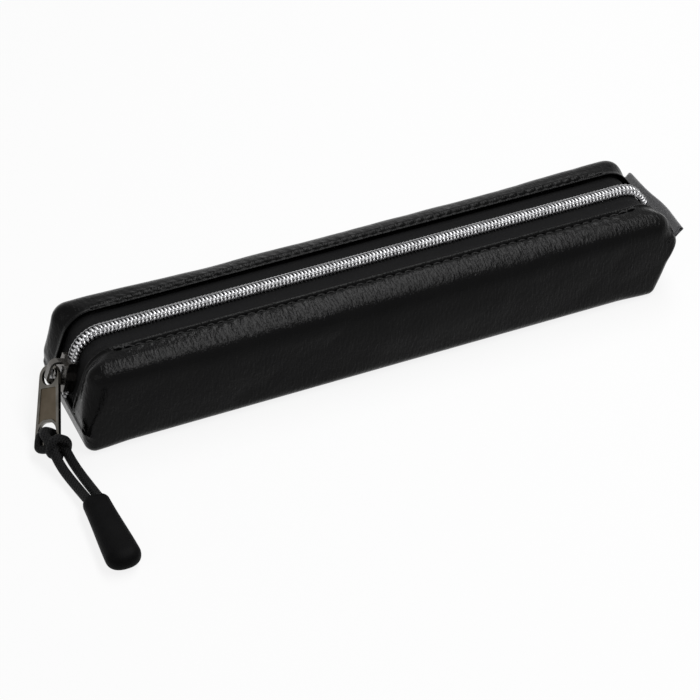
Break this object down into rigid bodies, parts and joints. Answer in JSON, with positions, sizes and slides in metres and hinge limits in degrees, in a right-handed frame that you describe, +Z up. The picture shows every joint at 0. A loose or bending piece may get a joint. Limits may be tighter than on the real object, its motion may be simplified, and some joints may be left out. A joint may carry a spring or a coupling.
{
  "type": "zip pen case",
  "caption": "Slim box-shaped soft leather pen case with a coil zip along its top, a metal slider pull with a cord loop and moulded grip, and a ribbon tab at the far end.",
  "frame": {"origin": "under the middle of the case, on the surface that it lies on", "axes": "+X along the case to the end with the ribbon tab, -Y to the side where the cord and grip lie, +Z up"},
  "size_m": [0.2196, 0.0942, 0.031],
  "materials": {
    "leather": "satin, fine grain",
    "lining_cloth": "matt",
    "thread": "satin",
    "ribbon": "satin",
    "zip_tape": "matt, woven",
    "coil": "metallised nylon, bright",
    "coil_thread": "satin",
    "slider_metal": "polished",
    "lock_steel": "satin",
    "pull_metal": "polished, dark nickel",
    "cord": "braided",
    "grip_rubber": "matt"
  },
  "bodies": {
    "case": {"outer_panel": "leather", "lining": "lining_cloth", "topstitch_front": "thread", "topstitch_back": "thread", "end_tab": "ribbon", "tape_front": "zip_tape", "tape_back": "zip_tape", "coil_front": "coil", "coil_back": "coil", "coil_stitch_front": "coil_thread", "coil_stitch_back": "coil_thread"},
    "slider": {"slider_body": "slider_metal", "crown_spring": "slider_metal", "lock_pin": "lock_steel"},
    "pawl": {"lock_pawl": "lock_steel"},
    "pull": {"pull_tab": "pull_metal"},
    "cord": {"pull_cord": "cord", "cord_grip": "grip_rubber"}
  },
  "joints": [
    {"name": "slider_travel", "type": "hinge", "parent": "case", "child": "slider", "pos_m": [-0.08087, 0, 0.01048], "axis": [0, 1, 0], "range_deg": [0, 70], "deforming": ["tape_front", "tape_back", "coil_front", "coil_back", "coil_stitch_front", "coil_stitch_back"]},
    {"name": "pawl_turn", "type": "hinge", "parent": "slider", "child": "pawl", "pos_m": [-0.10308, 0, 0.0158], "axis": [0, -1, 0], "range_deg": [0, 4]},
    {"name": "pull_swing", "type": "hinge", "parent": "slider", "child": "pull", "pos_m": [-0.10311, 0, 0.01879], "axis": [-0.0454, 0.9702, 0.2379], "range_deg": [0, 120]},
    {"name": "cord_swing", "type": "hinge", "parent": "pull", "child": "cord", "pos_m": [-0.10982, -0.01547, 0.00539], "axis": [-0.6123, 0, -0.7906], "range_deg": [0, 30]}
  ]
}
